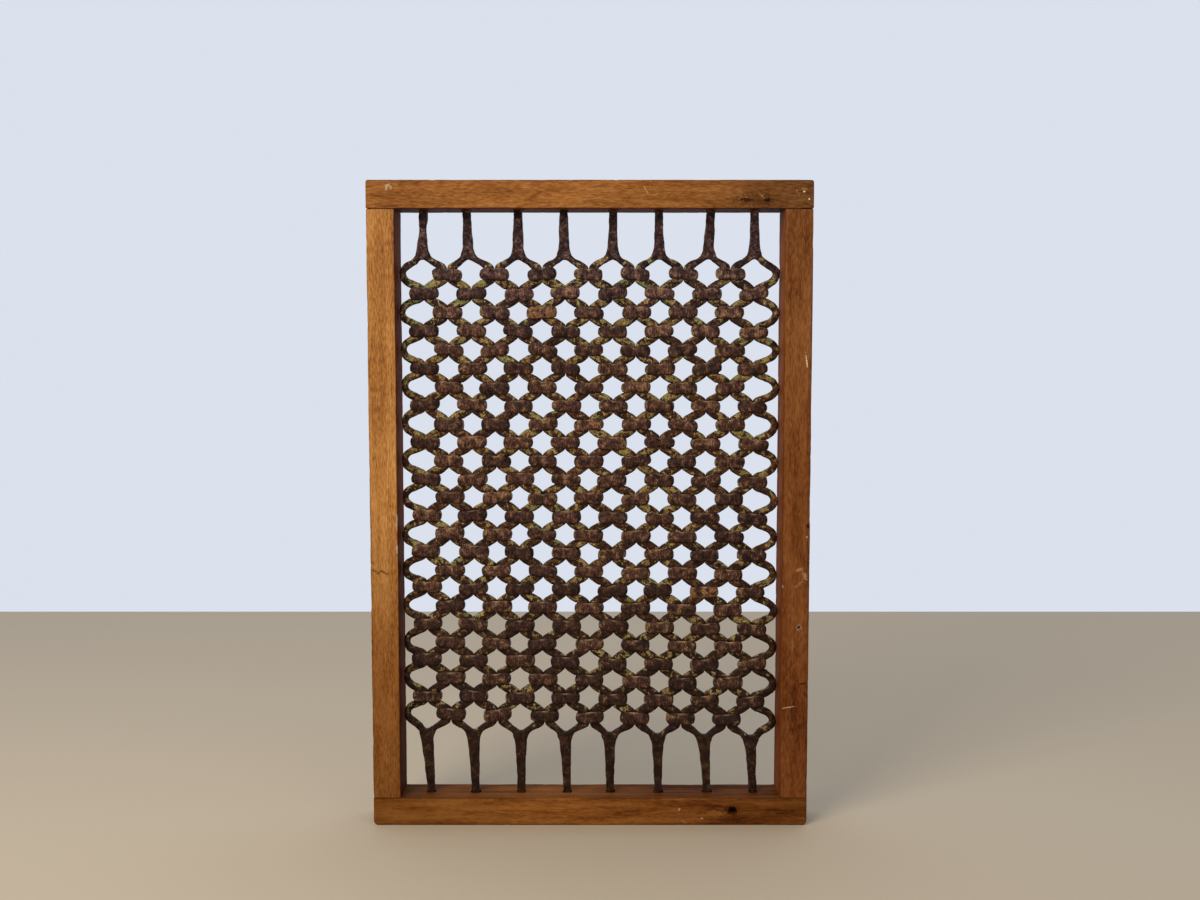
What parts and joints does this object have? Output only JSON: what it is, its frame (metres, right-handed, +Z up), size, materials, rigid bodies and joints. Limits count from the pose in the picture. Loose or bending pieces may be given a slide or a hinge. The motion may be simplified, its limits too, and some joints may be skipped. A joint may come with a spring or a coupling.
{
  "type": "jali window",
  "caption": "Small hardwood window frame holding a hand-forged iron jali grille of wavy split bars clamped together in rows by iron straps.",
  "frame": {"origin": "middle of the underside of the bottom rail", "axes": "+Z up along the height, the front looks along -Y, +X to the right seen from the front, +Y through the frame's depth"},
  "size_m": [0.55, 0.056, 0.81],
  "materials": {
    "timber": "waxed, worn satin",
    "iron": "old rust-brown patina with remains of ochre and green paint"
  },
  "bodies": {
    "root": {"top_rail": "timber", "bottom_rail": "timber", "left_stile": "timber", "right_stile": "timber", "grille_bar_1": "iron", "grille_bar_2": "iron", "grille_bar_3": "iron", "grille_bar_4": "iron", "grille_bar_5": "iron", "grille_bar_6": "iron", "grille_bar_7": "iron", "grille_bar_8": "iron"}
  },
  "joints": []
}
